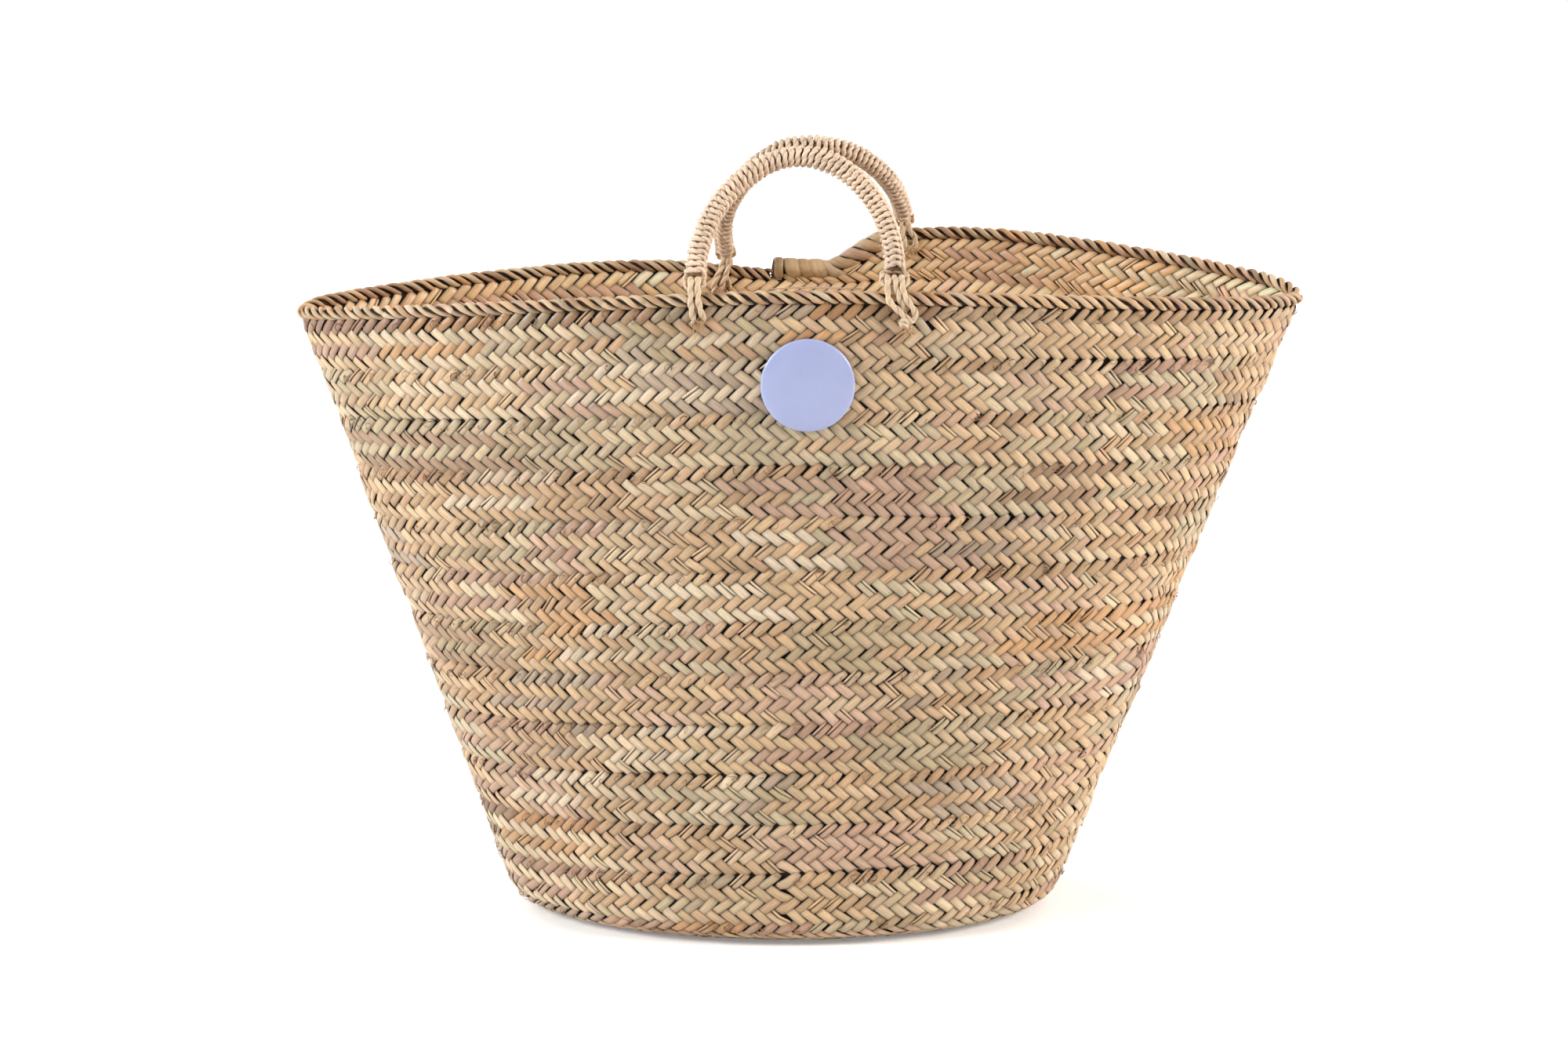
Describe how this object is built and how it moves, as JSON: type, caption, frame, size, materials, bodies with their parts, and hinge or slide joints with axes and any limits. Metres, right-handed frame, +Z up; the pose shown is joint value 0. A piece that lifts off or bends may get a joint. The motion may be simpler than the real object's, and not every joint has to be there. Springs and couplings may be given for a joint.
{
  "type": "straw basket",
  "caption": "Flared straw basket sewn from a coiled plaited palm band, with cord-wound rope handles that swing at the rim and a round bare pin badge.",
  "frame": {"origin": "middle of the basket's outer box, on the surface that it stands on", "axes": "+Z up out of the mouth, +X along the mouth's length to the right of the front, -Y towards the front with the badge"},
  "size_m": [0.6528, 0.2612, 0.508],
  "materials": {
    "palm": "plaited dried palm leaf, semi-matt",
    "palm_edging": "twisted palm strip, semi-matt",
    "sisal_cord": "twisted sisal cord, matt",
    "rope_core": "plain palm rope, matt",
    "badge_film": "glossy film over tinplate",
    "tinplate": "bare tinplate and wire"
  },
  "bodies": {
    "basket": {"base_braid": "palm", "wall_braid": "palm", "rim_edging": "palm_edging", "tail_binding": "palm", "badge_shell": "badge_film", "badge_back": "tinplate", "badge_pin": "tinplate", "front_left_lacing": "sisal_cord", "front_right_lacing": "sisal_cord", "rear_left_lacing": "sisal_cord", "rear_right_lacing": "sisal_cord"},
    "front_handle": {"front_handle_core": "rope_core", "front_handle_winding": "sisal_cord"},
    "rear_handle": {"rear_handle_core": "rope_core", "rear_handle_winding": "sisal_cord"}
  },
  "joints": [
    {"name": "front_handle_swing", "type": "hinge", "parent": "basket", "child": "front_handle", "pos_m": [-0.0038, -0.1189, 0.4293], "axis": [0.9999, -0.0053, 0.0152], "range_deg": [-36, 140]},
    {"name": "rear_handle_swing", "type": "hinge", "parent": "basket", "child": "rear_handle", "pos_m": [0.0113, 0.12092, 0.42484], "axis": [-0.9816, 0.0125, -0.1907], "range_deg": [-36, 140]}
  ]
}
